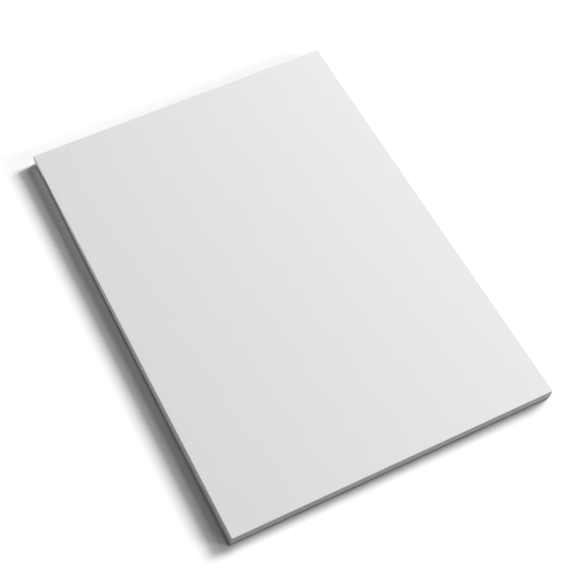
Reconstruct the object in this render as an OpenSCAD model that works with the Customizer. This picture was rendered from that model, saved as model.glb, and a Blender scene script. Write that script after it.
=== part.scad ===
// Layout pad: a block of loose sheets glued together along its head, on a grey backing board.
// X runs across the pad, Y from the foot to the glued head, Z up from the table.
// The origin is on the underside, below the middle of the sheets. Lengths are in millimetres.

/* [Sheets] */
// Width of a sheet
sheet_w = 210; // [105:1:420]
// Length of a sheet, from the foot to the glued head
sheet_l = 297; // [148:1:594]
// Number of sheets in the block
sheet_count = 80; // [20:1:100]
// Thickness of one sheet
sheet_t = 0.09; // [0.06:0.01:0.15]
// How far the lowest loose sheet leans to the left, in degrees; the top sheet is square
block_lean = 0.11; // [0:0.01:0.2]
// Most that any one sheet strays from the lean of the block, in degrees
sheet_stray = 0.02; // [0.005:0.005:0.04]
// Most that any one sheet falls short at the foot
foot_cut = 0.08; // [0:0.01:0.2]

/* [Backing board] */
// Thickness of the board
board_t = 1.2; // [0.6:0.1:3]
// How far the board leans, in degrees, with its foot going left
board_lean = 0.3; // [0.05:0.05:0.6]
// How far the board stops short of the sheets at the foot
board_short = 0.3; // [0:0.1:2]
// Number of sheets that cling to the board and lie with it
clinging = 2; // [0:1:10]

/* [Head glue] */
// Thickness of the glue film
glue_t = 0.35; // [0.1:0.05:1]
// How far the film runs round onto the sides, beside the top sheet
wrap_top = 6; // [2:0.5:15]
// How far the film runs round onto the sides, beside the board
wrap_base = 1.5; // [0.5:0.5:10]
// Rim left bare along the top sheet and along the underside
glue_bare = 0.15; // [0.05:0.05:0.5]
// Length past the film over which the glue still holds the sheets square
glue_hold = 4; // [1:1:20]

/* [Hidden] */

half_w = sheet_w / 2;
head_y = sheet_l / 2;
foot_y = -sheet_l / 2;
// Below this line the sheets and the board are free to lean
held_y = head_y - max(wrap_top, wrap_base) - glue_hold;
block_t = sheet_count * sheet_t;
pad_t = board_t + block_t;

// A number from -1 to 1 that wanders from sheet to sheet and has no visible beat
function wander(i) = 0.6 * sin(137.5 * i) + 0.4 * sin(61.8 * i + 40);

// How far sheet i leans, counted from the board: the lowest ones lie with the board,
// and above them the lean grows less towards the top sheet
function sheet_lean(i) = i < clinging
    ? board_lean
    : block_lean * (1 - i / (sheet_count - 1)) + sheet_stray * wander(i);

// Where a point ends up when its edge leans to the left, which leaves the foot parallel to the head
function leant(x, y, lean) = [x + (y - held_y) * tan(lean), y];

// Outline of a sheet or of the board: square and flush at the head, where the glue holds it,
// and leaning by a small angle to the foot, where it can end a little short
module leaf_outline(lean, short) {
    polygon([
        [-half_w, head_y],
        [half_w, head_y],
        [half_w, held_y],
        leant(half_w, foot_y + short, lean),
        leant(-half_w, foot_y + short, lean),
        [-half_w, held_y]
    ]);
}

// All the sheets as one block. Each sheet leans and is cut by its own small amount,
// so the block's edges show the sheets as fine steps.
module sheet_block() {
    color("white")
    for (i = [0 : sheet_count - 1])
        translate([0, 0, board_t + i * sheet_t])
        linear_extrude(sheet_t)
        leaf_outline(sheet_lean(i), foot_cut * (1 + wander(i + sheet_count)) / 2);
}

// Grey board under the block, with its head edge in the glue
module backing_board() {
    color("darkgray")
    linear_extrude(board_t)
    leaf_outline(board_lean, board_short);
}

// The film seen from above: a strip along the head with rounded corners and two short returns
module glue_plan() {
    wrap = max(wrap_top, wrap_base);
    difference() {
        union() {
            translate([-half_w, head_y]) square([sheet_w, glue_t]);
            for (side = [-1, 1]) translate([side * half_w, head_y]) {
                circle(r = glue_t, $fn = 48);
                translate([-glue_t, -wrap]) square([2 * glue_t, wrap]);
            }
        }
        translate([-half_w, head_y - 2 * wrap]) square([sheet_w, 2 * wrap]);
    }
}

// The film seen from the side: it ran further along the sheets than along the board
module glue_side() {
    polygon([
        [head_y + glue_t, glue_bare],
        [head_y + glue_t, pad_t - glue_bare],
        [head_y - wrap_top, pad_t - glue_bare],
        [head_y - wrap_base, glue_bare]
    ]);
}

// Film of padding glue over the head edges of the sheets and the board
module head_gum() {
    color("whitesmoke")
    intersection() {
        linear_extrude(pad_t) glue_plan();
        translate([-half_w - glue_t, 0, 0])
            rotate([90, 0, 90])
            linear_extrude(sheet_w + 2 * glue_t)
            glue_side();
    }
}

sheet_block();
backing_board();
head_gum();
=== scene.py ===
# %% [markdown]
# A layout pad: eighty loose sheets of white drawing paper, a grey board under them, and a
# brushed film of white padding glue along one short edge that holds the lot together.
# The solids of the pad come from its CAD model and stay where they are. This script dresses
# them: it models the sheets one by one, the pressed edges of the board and the brushed film,
# gives each its finish, and lights and photographs them on a white table.

# %% Load the frame
import math

import bmesh
import bpy
from mathutils import Matrix, Vector, noise


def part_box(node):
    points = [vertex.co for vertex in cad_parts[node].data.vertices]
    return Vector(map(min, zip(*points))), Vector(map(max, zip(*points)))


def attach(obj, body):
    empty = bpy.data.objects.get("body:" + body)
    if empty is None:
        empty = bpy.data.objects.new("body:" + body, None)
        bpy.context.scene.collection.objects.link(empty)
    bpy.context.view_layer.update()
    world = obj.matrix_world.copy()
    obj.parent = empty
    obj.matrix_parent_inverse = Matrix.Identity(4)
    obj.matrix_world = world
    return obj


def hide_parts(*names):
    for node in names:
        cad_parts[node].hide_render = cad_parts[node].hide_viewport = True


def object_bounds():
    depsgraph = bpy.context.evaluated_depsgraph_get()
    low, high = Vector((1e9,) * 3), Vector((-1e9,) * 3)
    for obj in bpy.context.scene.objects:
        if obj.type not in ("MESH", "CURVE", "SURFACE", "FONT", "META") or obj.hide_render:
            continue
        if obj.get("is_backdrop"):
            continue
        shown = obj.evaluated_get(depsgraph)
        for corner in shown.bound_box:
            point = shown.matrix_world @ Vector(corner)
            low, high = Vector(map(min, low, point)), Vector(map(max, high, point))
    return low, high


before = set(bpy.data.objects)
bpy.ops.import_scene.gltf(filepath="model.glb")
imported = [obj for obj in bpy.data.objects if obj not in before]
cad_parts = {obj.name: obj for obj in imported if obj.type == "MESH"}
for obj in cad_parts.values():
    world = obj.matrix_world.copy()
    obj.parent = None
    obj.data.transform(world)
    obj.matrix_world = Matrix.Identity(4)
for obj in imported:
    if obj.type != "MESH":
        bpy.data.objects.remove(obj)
cad_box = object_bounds()
MM = 0.001
print("CAD nodes:", sorted(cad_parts))

# %% [markdown]
# The camera looks down on the pad's left foot corner with a long lens. Its place was worked
# out from the four corners of the top sheet, so the drawing of the pad in the picture is the
# true perspective of an A4 sheet. The camera stands level: without roll the corners only fit
# with the lens shifted a little sideways, as when a picture is cropped off its middle.

# %% Camera
CAMERA_PLACE = Vector((-0.2309, -0.4176, 0.7357))
LOOK_TURN = math.radians(26.463)     # from +Y towards +X
LOOK_DOWN = math.radians(57.611)
CAMERA_ROLL = math.radians(0.245)

scene = bpy.context.scene
camera_data = bpy.data.cameras.new("long lens")
camera_data.sensor_width = 36
camera_data.lens = 87.398
camera_data.shift_x = 0.0725
camera = bpy.data.objects.new("camera", camera_data)
camera.matrix_world = (
    Matrix.Translation(CAMERA_PLACE)
    @ Matrix.Rotation(-LOOK_TURN, 4, "Z")
    @ Matrix.Rotation(math.pi / 2 - LOOK_DOWN, 4, "X")
    @ Matrix.Rotation(CAMERA_ROLL, 4, "Z")
)
scene.collection.objects.link(camera)
scene.camera = camera
scene.view_settings.view_transform = "Standard"
print("camera is", round(CAMERA_PLACE.length, 3), "m from the pad's origin")

# %% [markdown]
# Every finish here is a small tree of shader nodes. Nodes are easier to read as sums than as
# links, so one small class wraps a node's output: adding or multiplying two of them adds the
# Math node that does it, and one method adds any other node with its settings and inputs.

# %% A wire between shader nodes
class Wire:
    """An output of a shader node that can stand in a sum."""

    def __init__(self, tree, socket=None):
        self.tree = tree
        self.socket = socket

    def node(self, kind, settings=None, inputs=None, output=0):
        """Adds a node: its settings first, then the values or wires of its sockets."""
        made = self.tree.nodes.new("ShaderNode" + kind)
        for name, value in (settings or {}).items():
            setattr(made, name, value)
        for name, value in (inputs or {}).items():
            if isinstance(value, Wire):
                self.tree.links.new(value.socket, made.inputs[name])
            else:
                made.inputs[name].default_value = value
        return Wire(self.tree, made.outputs[output])

    def math(self, operation, *values):
        """A Math node on this wire and the given values or wires."""
        return self.node("Math", {"operation": operation}, dict(enumerate((self, *values))))

    def __add__(self, other):
        return self.math("ADD", other)

    __radd__ = __add__

    def __mul__(self, other):
        return self.math("MULTIPLY", other)

    __rmul__ = __mul__

    def __sub__(self, other):
        return self.math("SUBTRACT", other)

    def __rsub__(self, other):
        return self.math("MULTIPLY_ADD", -1.0, other)

    def __truediv__(self, other):
        return self.math("DIVIDE", other)

    def step(self, low, high):
        """0 below low, 1 above high and a smooth rise between."""
        settings = {"interpolation_type": "SMOOTHSTEP"}
        return self.node("MapRange", settings, {"Value": self, "From Min": low, "From Max": high})


def new_material(name):
    """A material, its tree as a wire, and its shader."""
    made = bpy.data.materials.new(name)
    made.use_nodes = True
    return made, Wire(made.node_tree), made.node_tree.nodes["Principled BSDF"]


def plug(wire, shader, socket):
    """Leads a wire into one of a shader's sockets."""
    wire.tree.links.new(wire.socket, shader.inputs[socket])


# %% [markdown]
# The light comes low from the right, which is why the shadow along the left side is wide
# and dark. A wide key in two parts makes its soft end, two lamps further round behind make
# the narrow shadow along the foot, and two in front the faint one along the head. One that
# just clears the table keeps the cut edges on the left from going black. Each lamp is given
# by the share of light that it lays on the middle of the pad, so the paper's own shade times
# the sum of the shares is about how bright the top sheet turns out.

# %% Lamps
def add_lamp(name, turn, height, distance, width, share):
    """A round lamp that looks at the pad: turn from +X towards +Y, and height, in degrees."""
    turn = math.radians(turn)
    height = math.radians(height)
    outwards = Vector((
        math.cos(turn) * math.cos(height),
        math.sin(turn) * math.cos(height),
        math.sin(height),
    ))
    data = bpy.data.lights.new(name, "AREA")
    data.shape = "DISK"
    data.size = width
    data.energy = share * math.pi ** 2 * distance ** 2 / math.sin(height)
    lamp = bpy.data.objects.new(name, data)
    lamp.matrix_world = (
        Matrix.Translation(outwards * distance)
        @ outwards.to_track_quat("Z", "Y").to_matrix().to_4x4()
    )
    lamp.visible_camera = False
    scene.collection.objects.link(lamp)
    return lamp


lamps = [
    add_lamp("key", turn=10, height=29.5, distance=3.6, width=1.13, share=0.465),
    add_lamp("key front half", turn=-2, height=28, distance=3.4, width=1.07, share=0.059),
    add_lamp("back right", turn=28, height=41.5, distance=1.6, width=0.77, share=0.208),
    add_lamp("high back", turn=53, height=61.4, distance=1.05, width=0.56, share=0.016),
    add_lamp("front right", turn=-35, height=20, distance=2.2, width=0.45, share=0.093),
    add_lamp("front", turn=-62, height=32, distance=1.8, width=0.6, share=0.046),
    add_lamp("low left", turn=182, height=2.3, distance=3.0, width=0.2, share=0.0165),
]
print("lamps:", ", ".join(f"{lamp.name} {lamp.data.energy:.0f} W" for lamp in lamps))

# %% [markdown]
# The pad lies on a white table that runs out of the picture on all sides, and nothing of it
# shows but the pad's shadow. Lamps never light a table evenly, so its colour makes up for
# them: the nodes work out how much light the lamps lay on each point of the empty table, and
# the camera sees the colour that turns just that much light into white. Only where the pad
# takes light away is the table darker. The light that it throws back at the pad's edges
# comes from an even grey. Beyond the table, the camera and the gloss of the glue see a white
# room that lights nothing else.

# %% Table and world
TABLE_SIZE = 4.0
TABLE_SHADE = 0.45     # what the table throws back
TABLE_WHITE = 1.06     # a trace over 1, so that the white shows no grain
FAINTEST_LIGHT = 0.01  # far out on the table, where the sum below would divide by nothing

table_paint, table_wire, table_shader = new_material("white table")
table_place = table_wire.node("TexCoord", output="Object")


def light_on_table(lamp):
    """The light that a lamp lays on each point of the empty table, in shares."""
    place = lamp.location.copy()
    ahead = place.normalized()
    toward = table_wire.node("VectorMath", {"operation": "SUBTRACT"}, {0: place, 1: table_place})
    reach = table_wire.node("VectorMath", {"operation": "LENGTH"}, {0: toward}, "Value")
    facing = table_wire.node("VectorMath", {"operation": "DOT_PRODUCT"}, {0: toward, 1: ahead}, "Value")
    power = lamp.data.energy * place.z / math.pi ** 2
    return facing.math("MAXIMUM", 0.0) * power / reach.math("POWER", 4.0)


empty_table_light = sum(light_on_table(lamp) for lamp in lamps)
seen_by_camera = table_wire.node("LightPath", output="Is Camera Ray")
white_colour = empty_table_light.math("MAXIMUM", FAINTEST_LIGHT).math("POWER", -1.0) * TABLE_WHITE
table_colour = seen_by_camera * (white_colour - TABLE_SHADE) + TABLE_SHADE
plug(table_colour, table_shader, "Base Color")
table_shader.inputs["Roughness"].default_value = 1.0
table_shader.inputs["Specular IOR Level"].default_value = 0.0

table_mesh = bpy.data.meshes.new("table")
bm = bmesh.new()
bmesh.ops.create_grid(bm, x_segments=1, y_segments=1, size=TABLE_SIZE / 2)
bm.to_mesh(table_mesh)
bm.free()
table_mesh.materials.append(table_paint)
table = bpy.data.objects.new("table", table_mesh)
scene.collection.objects.link(table)
table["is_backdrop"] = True

world = bpy.data.worlds.new("white room")
world.use_nodes = True
scene.world = world
world_wire = Wire(world.node_tree)
seen = world_wire.node("LightPath", output="Is Camera Ray")
mirrored = world_wire.node("LightPath", output="Is Glossy Ray")
plug(seen.math("MAXIMUM", mirrored), world.node_tree.nodes["Background"], "Strength")
world.node_tree.nodes["Background"].inputs["Color"].default_value = (1, 1, 1, 1)
print("table", TABLE_SIZE, "m across")

# %% [markdown]
# Pads of this kind are trimmed on a guillotine as one block, and then handled, so no sheet
# lies exactly over the next. The block leans a little to the left towards its foot, the
# lowest sheets cling to the board and lean with it, and every sheet strays by its own small
# amount. All this is worked out from the sheet's number with the formulas of the solid
# model, so that the modelled sheets lie where the solid has them. Only the tuck is the
# scene's own: just below the glue, the lower sheets on the left are drawn in a little.

# %% Sizes
SHEET_W = 210 * MM
SHEET_L = 297 * MM
SHEET_COUNT = 80
BLOCK_LEAN = math.radians(0.11)
SHEET_STRAY = math.radians(0.02)
CLINGING = 2
FOOT_CUT = 0.08 * MM
BOARD_LEAN = math.radians(0.3)
BOARD_SHORT = 0.3 * MM
HELD_Y = 138.5 * MM          # the glue holds everything square above this line
GLUE_END_Y = 142.5 * MM      # the glue's ends on the two sides reach down to here
TUCK = 0.8 * MM              # the most that the left side is tucked in
TUCK_START = 6 * MM          # how far below the glue the tuck is at its fullest
TUCK_LENGTH = 130 * MM       # how far down the side it has run out

half_w = SHEET_W / 2
half_l = SHEET_L / 2
board_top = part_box("backing_board")[1].z
pad_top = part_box("sheet_block")[1].z
leaf_t = (pad_top - board_top) / SHEET_COUNT
print(f"block {(pad_top - board_top) / MM:.2f} mm, one sheet {leaf_t / MM:.3f} mm")


def wander(number):
    """A value from -1 to 1 that wanders from sheet to sheet and has no visible beat."""
    quick_part = math.sin(math.radians(137.5 * number))
    slow_part = math.sin(math.radians(61.8 * number + 40))
    return 0.6 * quick_part + 0.4 * slow_part


def sheet_lean(number):
    """Lean of a sheet, counted from the board."""
    if number < CLINGING:
        return BOARD_LEAN
    return BLOCK_LEAN * (1 - number / (SHEET_COUNT - 1)) + SHEET_STRAY * wander(number)


def leant(home, lean, short, depth):
    """Where a point of a square sheet lies once it leans, is cut short and is tucked in.

    The depth runs from 0 at the top sheet to 1 at the board.
    """
    x = home.x
    y = home.y
    if y < -half_l + 1e-6:
        y += short
    below_glue = min(1.0, max(0.0, (GLUE_END_Y - y) / TUCK_START))
    below_neck = min(1.0, max(0.0, (GLUE_END_Y - y) / TUCK_LENGTH))
    tuck = TUCK * depth * below_glue * (1 - below_neck) ** 2
    x += tuck * max(0.0, -home.x / half_w)
    if y > HELD_Y:
        return x, y
    return x + (y - HELD_Y) * math.tan(lean), y


# %% [markdown]
# Sheets and board are both flat pieces with an edge that has a profile. A grid lies at the
# bottom, its outline is extruded upwards ring by ring, and a copy of the grid closes the
# top. Each point remembers its home on a plain rectangle in a layer of the mesh, so every
# ring can be laid out afresh from the same homes. The result is one closed skin.

# %% A flat piece with a profiled edge
GRID_X = 26
GRID_Y = 37
LEDGE_AREA = 1.2 * MM * MM     # a level side face larger than this is a ledge, not a cut edge


def flat_piece(rings, lay_out, top_dip):
    """A closed skin from (height, inset, ring number) rows: lay_out gives a point's x and y."""
    bm = bmesh.new()
    home = bm.verts.layers.float_vector.new("home")
    bmesh.ops.create_grid(bm, x_segments=GRID_X, y_segments=GRID_Y, size=0.5)
    bmesh.ops.scale(bm, vec=(SHEET_W, SHEET_L, 1), verts=bm.verts)
    for vert in bm.verts:
        vert[home] = vert.co

    def settle(verts, ring):
        height, inset, number = ring
        for vert in verts:
            x, y = lay_out(vert[home], inset, number)
            vert.co = (x, y, height)

    floor_faces = list(bm.faces)
    edges = [edge for edge in bm.edges if edge.is_boundary]
    copied = bmesh.ops.duplicate(bm, geom=floor_faces)["geom"]
    roof_verts = [part for part in copied if isinstance(part, bmesh.types.BMVert)]
    roof_faces = [part for part in copied if isinstance(part, bmesh.types.BMFace)]
    settle({vert for face in floor_faces for vert in face.verts}, rings[0])
    settle(roof_verts, rings[-1])
    for vert in roof_verts:
        vert.co.z -= top_dip(vert[home])
    for ring in rings[1:]:
        grown = bmesh.ops.extrude_edge_only(bm, edges=edges)["geom"]
        edges = [part for part in grown if isinstance(part, bmesh.types.BMEdge) and part.is_boundary]
        settle({vert for edge in edges for vert in edge.verts}, ring)
    sides = set(bm.faces) - set(floor_faces) - set(roof_faces)
    bm.normal_update()
    for face in bm.faces:
        ledge = abs(face.normal.z) > 0.9 and face.calc_area() > LEDGE_AREA
        face.material_index = 1 if face in sides and not ledge else 0
        face.smooth = face not in sides
    bmesh.ops.remove_doubles(bm, verts=bm.verts, dist=1e-7)
    bmesh.ops.recalc_face_normals(bm, faces=bm.faces)
    for edge in bm.edges:
        edge.smooth = len({face.material_index for face in edge.link_faces}) == 1
    return bm


def finish_piece(bm, name, materials, node):
    """Turns a bmesh into a piece that rides on the pad and stands for a CAD node."""
    open_edges = sum(not edge.is_manifold for edge in bm.edges)
    mesh = bpy.data.meshes.new(name)
    bm.to_mesh(mesh)
    bm.free()
    for material in materials:
        mesh.materials.append(material)
    piece = bpy.data.objects.new(name, mesh)
    scene.collection.objects.link(piece)
    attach(piece, "root")
    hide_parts(node)
    mesh.calc_loop_triangles()
    print(f"{name}: {len(mesh.loop_triangles)} triangles, {open_edges} open edges")
    return piece


# %% [markdown]
# Layout paper is smooth, uncoated and bright. Close up it has a faint tooth left by the
# felt of the paper machine, and held to the light its fibres lie in soft clouds. Both are
# very weak here, because from half a metre the sheet should read as plain white.

# %% Finish of the paper's flat side
PAPER_SHADE = 0.86
CLOUD_SIZE = 14 * MM
TOOTH_SIZE = 0.35 * MM

paper_face, paper, paper_shader = new_material("layout paper, flat side")
paper_place = paper.node("TexCoord", output="Object")
clouds = paper.node("TexNoise", inputs={"Vector": paper_place, "Scale": 1 / CLOUD_SIZE, "Detail": 4.0})
tooth = paper.node("TexNoise", inputs={"Vector": paper_place, "Scale": 1 / TOOTH_SIZE, "Detail": 3.0})
plug(PAPER_SHADE + (clouds - 0.5) * 0.012 + (tooth - 0.5) * 0.02, paper_shader, "Base Color")
plug(0.78 + tooth * 0.12, paper_shader, "Roughness")
tooth_bump = paper.node("Bump", inputs={"Strength": 0.5, "Distance": 0.004 * MM, "Height": tooth})
plug(tooth_bump, paper_shader, "Normal")
paper_shader.inputs["Specular IOR Level"].default_value = 0.3

# %% [markdown]
# The cut edges are the same paper seen end on. Between two sheets there is always a thread
# of shade, some sheets catch more light than others, and the guillotine's blade leaves faint
# slanting strokes down the whole block. At the foot the lowest sheets, next to the board, are
# painted darker: painted shade. The sheet number comes from the height, and a noise that is
# stretched along a slanting line makes the strokes.

# %% Finish of the paper's cut edges
# painted shade: the cut edges are painted darker than the flat side, for the shade between the sheets
EDGE_SHADE = 0.80
STROKE_SLANT = math.radians(40)
STROKE_PITCH = 0.9 * MM
# painted shade: how many of the lowest sheets are painted darker near the foot, and by how much
FOOT_SHADE_SHEETS = 12
FOOT_SHADE_DARKER = 0.36
FOOT_SHADE_LENGTH = 80 * MM     # how far the painted shade on the lowest sheets reaches up the sides
FOOT_FACE = 1 * MM          # anything nearer to the foot's line belongs to its cut face

paper_cut, cut, cut_shader = new_material("layout paper, cut edges")
cut_place = cut.node("TexCoord", output="Object")
cut_split = cut.node("SeparateXYZ", inputs={"Vector": cut_place}, output="Z")
cut_x = Wire(cut.tree, cut_split.socket.node.outputs["X"])
cut_y = Wire(cut.tree, cut_split.socket.node.outputs["Y"])
along = cut_x + cut_y
level = (cut_split - board_top) / leaf_t
number = level.math("FLOOR")
own_shade = cut.node("TexWhiteNoise", {"noise_dimensions": "1D"}, {"W": number})
across_leaf = (level - number - 0.5).math("ABSOLUTE")
gap_shade = across_leaf.step(0.30, 0.50)
# painted shade: a mask for the lowest sheets near the foot, next to the board
near_foot = 1 - cut_y.step(FOOT_FACE - half_l, FOOT_SHADE_LENGTH - half_l)
painted_foot_shade = near_foot * (1 - level.step(CLINGING + 1, CLINGING + FOOT_SHADE_SHEETS))
slant = (along * math.cos(STROKE_SLANT) + cut_split * math.sin(STROKE_SLANT)) / STROKE_PITCH
strokes = cut.node("TexNoise", {"noise_dimensions": "1D"}, {"W": slant, "Detail": 3.0})
bundles = cut.node("TexNoise", {"noise_dimensions": "2D"}, {
    "Vector": cut.node("CombineXYZ", inputs={"X": along / (60 * MM), "Y": cut_split / (0.7 * MM)}),
    "Scale": 1.0,
    "Detail": 3.0,
})
edge_light = (
    EDGE_SHADE
    + (own_shade - 0.5) * 0.10
    + (strokes - 0.5) * 0.16
    + (bundles - 0.5) * 0.12
    - gap_shade * 0.12
    # painted shade on the lowest sheets at the foot
    - painted_foot_shade * FOOT_SHADE_DARKER
)
plug(edge_light, cut_shader, "Base Color")
cut_shader.inputs["Roughness"].default_value = 0.9
cut_shader.inputs["Specular IOR Level"].default_value = 0.3
cut_bump = cut.node("Bump", inputs={"Strength": 0.4, "Distance": 0.01 * MM, "Height": strokes})
plug(cut_bump, cut_shader, "Normal")

# %% [markdown]
# Each sheet becomes four rings: in a little at its lower face, out to its full size, up,
# and in a little again at its upper face. Eighty of them stacked give the fine grooves that
# make a block of paper look like paper and not like a plank. Loose sheets also never lie
# dead flat, so the top one has a relief of a few hundredths of a millimetre.

# %% The block of sheets
LEAF_EASE = 0.012 * MM     # how much a sheet's edge is rounded by the blade
EDGE_WANDER = 0.015 * MM
TOP_RELIEF = 0.05 * MM


def lay_sheet(home, inset, number):
    """A point of the outline of one sheet."""
    ripple = noise.noise(Vector((home.x / 0.03, home.y / 0.03, number * 1.7)))
    inset += EDGE_WANDER * (0.5 + 0.5 * ripple)
    short = FOOT_CUT * (1 + wander(number + SHEET_COUNT)) / 2
    depth = 1 - number / (SHEET_COUNT - 1)
    x, y = leant(home, sheet_lean(number), short, depth)
    return x * (1 - inset / half_w), y * (1 - inset / half_l)


def top_sheet_dip(home):
    """How far the top sheet lies below its highest point, nothing along its edges."""
    window = (1 - (home.x / half_w) ** 4) * (1 - (home.y / half_l) ** 4)
    swell = noise.noise(Vector((home.x / 0.11, home.y / 0.14, 4.2)))
    return TOP_RELIEF * (0.5 + 0.5 * swell) * window


sheet_rings = []
for number_up in range(SHEET_COUNT):
    base = board_top + number_up * leaf_t
    sheet_rings += [
        (base, LEAF_EASE, number_up),
        (base + LEAF_EASE, 0.0, number_up),
        (base + leaf_t - LEAF_EASE, 0.0, number_up),
        (base + leaf_t, LEAF_EASE, number_up),
    ]
block = flat_piece(sheet_rings, lay_sheet, top_sheet_dip)
sheets = finish_piece(block, "sheets", [paper_face, paper_cut], "sheet_block")

# %% [markdown]
# The backing is grey board, pressed from waste paper: a mid grey felt of short fibres, with
# lighter and darker flecks. Its cut edge is darker and rougher than its face, and shows the
# layers it was made up from as faint level lines.

# %% Finish of the grey board
BOARD_SHADE = 0.36
CUT_SHADE = 0.11
FLECK_SIZE = 0.8 * MM

board_face, board_wire, board_shader = new_material("grey board, face")
board_place = board_wire.node("TexCoord", output="Object")
felt = board_wire.node("TexNoise", inputs={"Vector": board_place, "Scale": 1 / (3 * MM), "Detail": 6.0})
fleck = board_wire.node("TexVoronoi", inputs={"Vector": board_place, "Scale": 1 / FLECK_SIZE})
fleck_mask = 1 - fleck.step(0.12, 0.30)
plug(BOARD_SHADE + (felt - 0.5) * 0.14 - fleck_mask * 0.05, board_shader, "Base Color")
board_shader.inputs["Roughness"].default_value = 0.95
board_shader.inputs["Specular IOR Level"].default_value = 0.2
board_bump = board_wire.node("Bump", inputs={"Strength": 0.6, "Distance": 0.03 * MM, "Height": felt})
plug(board_bump, board_shader, "Normal")

board_cut, ply, ply_shader = new_material("grey board, cut edge")
ply_place = ply.node("TexCoord", output="Object")
ply_z = ply.node("SeparateXYZ", inputs={"Vector": ply_place}, output="Z")
ply_felt = ply.node("TexNoise", inputs={"Vector": ply_place, "Scale": 1 / (1.2 * MM), "Detail": 6.0})
layers = ply.node("TexNoise", {"noise_dimensions": "1D"}, {"W": ply_z / (0.18 * MM), "Detail": 2.0})
plug(CUT_SHADE + (ply_felt - 0.5) * 0.07 + (layers - 0.5) * 0.03, ply_shader, "Base Color")
ply_shader.inputs["Roughness"].default_value = 0.95
ply_shader.inputs["Specular IOR Level"].default_value = 0.2
ply_bump = ply.node("Bump", inputs={"Strength": 0.8, "Distance": 0.05 * MM, "Height": ply_felt})
plug(ply_bump, ply_shader, "Normal")

# %% [markdown]
# The board wasn't cut quite square, so on the left it looks out from under the sheets. Its
# pressed fibres also swell once they are cut, at the foot by a third of a millimetre and
# along the sides by a little: the edge bulges, is rounded underneath and ends in a crisper
# rim on top. Six rings give that profile.

# %% The backing board
EDGE_FUZZ = 0.04 * MM
SIDE_SWELL = 0.12 * MM     # the most that the board swells along its sides


def lay_board(home, inset, number):
    """A point of the board's outline, with the small unevenness of a cut through felt."""
    fuzz = noise.noise(Vector((home.x / 0.004, home.y / 0.004, number * 0.9)))
    inset += EDGE_FUZZ * (0.5 + 0.5 * fuzz)
    if home.y > HELD_Y:
        inset = max(inset, 0.0)
    x, y = leant(home, BOARD_LEAN, BOARD_SHORT, 1.0)
    return x * (1 - max(inset, -SIDE_SWELL) / half_w), y * (1 - inset / half_l)


board_rings = [
    (0.00 * board_top, -0.02 * MM, 0),
    (0.08 * board_top, -0.18 * MM, 1),
    (0.25 * board_top, -0.29 * MM, 2),
    (0.55 * board_top, -0.33 * MM, 3),
    (0.85 * board_top, -0.32 * MM, 4),
    (1.00 * board_top, -0.28 * MM, 5),
]
board = flat_piece(board_rings, lay_board, lambda home: 0.0)
backing = finish_piece(board, "backing", [board_face, board_cut], "backing_board")

# %% [markdown]
# Padding glue is brushed over the head of the clamped block and dries to a thin, rubbery,
# slightly shiny white skin. The brush leaves streaks along its way, and its ends wrap round
# the two corners and stop in a ragged slant.

# %% Finish of the padding glue
glue_paint, glue, glue_shader = new_material("padding glue")
glue_place = glue.node("TexCoord", output="Object")
brushed = glue.node("Mapping", inputs={"Vector": glue_place, "Scale": (1 / 0.03, 1 / 0.006, 1 / 0.0007)})
streaks = glue.node("TexNoise", inputs={"Vector": brushed, "Scale": 1.0, "Detail": 4.0})
plug(0.86 + (streaks - 0.5) * 0.10, glue_shader, "Base Color")
plug(0.32 + streaks * 0.3, glue_shader, "Roughness")
glue_bump = glue.node("Bump", inputs={"Strength": 0.5, "Distance": 0.05 * MM, "Height": streaks})
plug(glue_bump, glue_shader, "Normal")

# %% [markdown]
# The film is a grid that is bent round the head like a strip of tape: one direction runs up
# the left side, round the corner, along the head, round and down the right side, the other
# runs from the board to the top sheet. Its distance from the paper is its thickness, thin at
# the rims and uneven where the brush went. A copy lies on the paper and closes the skin.

# %% The glue film
GLUE_T = 0.35 * MM
GLUE_RIM = 0.03 * MM
GLUE_BARE = 0.15 * MM
WRAP_TOP = 6 * MM
WRAP_BASE = 1.5 * MM
SIDE_STEPS = 12
TURN_STEPS = 8
HEAD_STEPS = 140
RISE_STEPS = 20
PATH_STEPS = 2 * SIDE_STEPS + 2 * TURN_STEPS + HEAD_STEPS


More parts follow.
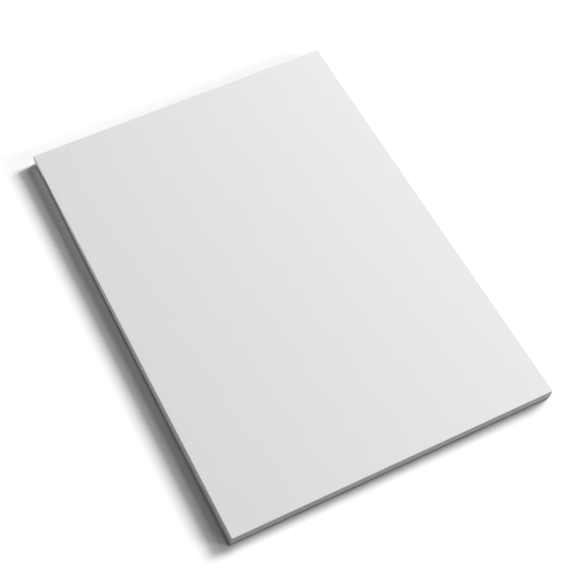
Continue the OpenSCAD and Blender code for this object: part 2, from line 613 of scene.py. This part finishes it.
def film_point(step, rise, away):
    """A point of the film: steps along its path, rise from 0 to 1, and distance from the paper."""
    side = -1 if step < PATH_STEPS / 2 else 1
    from_end = min(step, PATH_STEPS - step)
    z = GLUE_BARE + rise * (pad_top - 2 * GLUE_BARE)
    if from_end <= SIDE_STEPS:
        ragged = 0.5 * MM * noise.noise(Vector((rise * 5.0, side * 3.0, 0.7)))
        wrap = WRAP_BASE + (WRAP_TOP - WRAP_BASE) * rise - abs(ragged)
        back = wrap * (1 - from_end / SIDE_STEPS)
        return Vector((side * (half_w + away), half_l - back, z))
    if from_end <= SIDE_STEPS + TURN_STEPS:
        turn = math.pi / 2 * (from_end - SIDE_STEPS) / TURN_STEPS
        return Vector((side * (half_w + away * math.cos(turn)), half_l + away * math.sin(turn), z))
    share = (step - SIDE_STEPS - TURN_STEPS) / HEAD_STEPS
    return Vector((-half_w + SHEET_W * share, half_l + away, z))


def film_thickness(step, rise):
    """Thin at the rims, uneven along the brush's way, and never over the full thickness."""
    from_end = min(step, PATH_STEPS - step) / SIDE_STEPS
    rim = min(from_end / 0.35, rise / 0.08, (1 - rise) / 0.08, 1.0)
    streak = noise.noise(Vector((step / 9.0, rise * 9.0, 2.0)))
    body = GLUE_T * (0.72 + 0.28 * streak)
    return GLUE_RIM + (body - GLUE_RIM) * math.sin(math.pi / 2 * max(rim, 0.0))


film = bmesh.new()
steps_in = film.verts.layers.float_vector.new("steps")
bmesh.ops.create_grid(film, x_segments=PATH_STEPS, y_segments=RISE_STEPS, size=0.5)
for vert in film.verts:
    vert[steps_in] = Vector((round((vert.co.x + 0.5) * PATH_STEPS), vert.co.y + 0.5, 0))
outer = list(film.faces)
rim_edges = [edge for edge in film.edges if edge.is_boundary]
inner_verts = [
    part for part in bmesh.ops.duplicate(film, geom=outer)["geom"]
    if isinstance(part, bmesh.types.BMVert)
]
rim_parts = bmesh.ops.extrude_edge_only(film, edges=rim_edges)["geom"]
rim_verts = [part for part in rim_parts if isinstance(part, bmesh.types.BMVert)]
outer_verts = {vert for face in outer for vert in face.verts}
for vert in outer_verts:
    step, rise, unused = vert[steps_in]
    vert.co = film_point(step, rise, film_thickness(step, rise))
for vert in inner_verts + rim_verts:
    step, rise, unused = vert[steps_in]
    vert.co = film_point(step, rise, 0.0)
bmesh.ops.remove_doubles(film, verts=film.verts, dist=1e-7)
bmesh.ops.recalc_face_normals(film, faces=film.faces)
for face in film.faces:
    face.smooth = True
film_piece = finish_piece(film, "glue_film", [glue_paint], "head_gum")

# %% [markdown]
# Last, the size of what shows is printed beside the size of the CAD model. The two have to
# agree, because a dressed part that outgrew its solids would no longer fit where they fit.

# %% Sizes and the end
dressed_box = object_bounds()
sizes = {
    "cad": [list(corner) for corner in cad_box],
    "visual": [list(corner) for corner in dressed_box],
}
for name, corners in sizes.items():
    print(name, [[round(value / MM, 2) for value in corner] for corner in corners])
